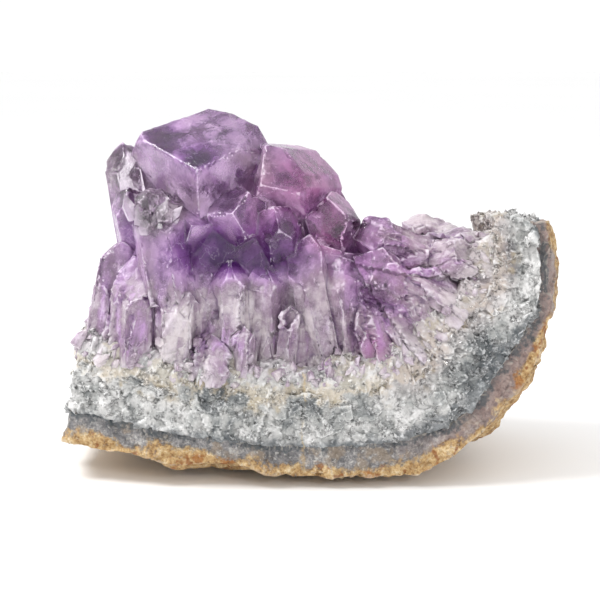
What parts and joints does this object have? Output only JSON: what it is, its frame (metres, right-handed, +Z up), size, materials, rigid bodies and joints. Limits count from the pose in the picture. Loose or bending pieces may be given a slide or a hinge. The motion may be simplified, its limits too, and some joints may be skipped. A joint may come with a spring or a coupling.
{
  "type": "amethyst cluster",
  "caption": "Broken piece of geode wall: weathered rock skin, sugary grey quartz and a mass of violet amethyst crystals, lying on its skin.",
  "frame": {"origin": "centre of the bounding box's bottom, on the surface that the piece rests on", "axes": "+X along the wall from its low end to its upturned end, +Y from the broken front to the back, +Z up"},
  "size_m": [0.084, 0.0484, 0.0608],
  "materials": {
    "rock": "rough weathered ochre skin over grey chalcedony",
    "quartz": "sugary grey-white granular quartz with small sparkles",
    "amethyst": "clear to milky violet quartz with glassy faces, paler at the base"
  },
  "bodies": {
    "root": {"rind": "rock", "quartz_bed": "quartz", "amethyst_crystals": "amethyst"}
  },
  "joints": []
}
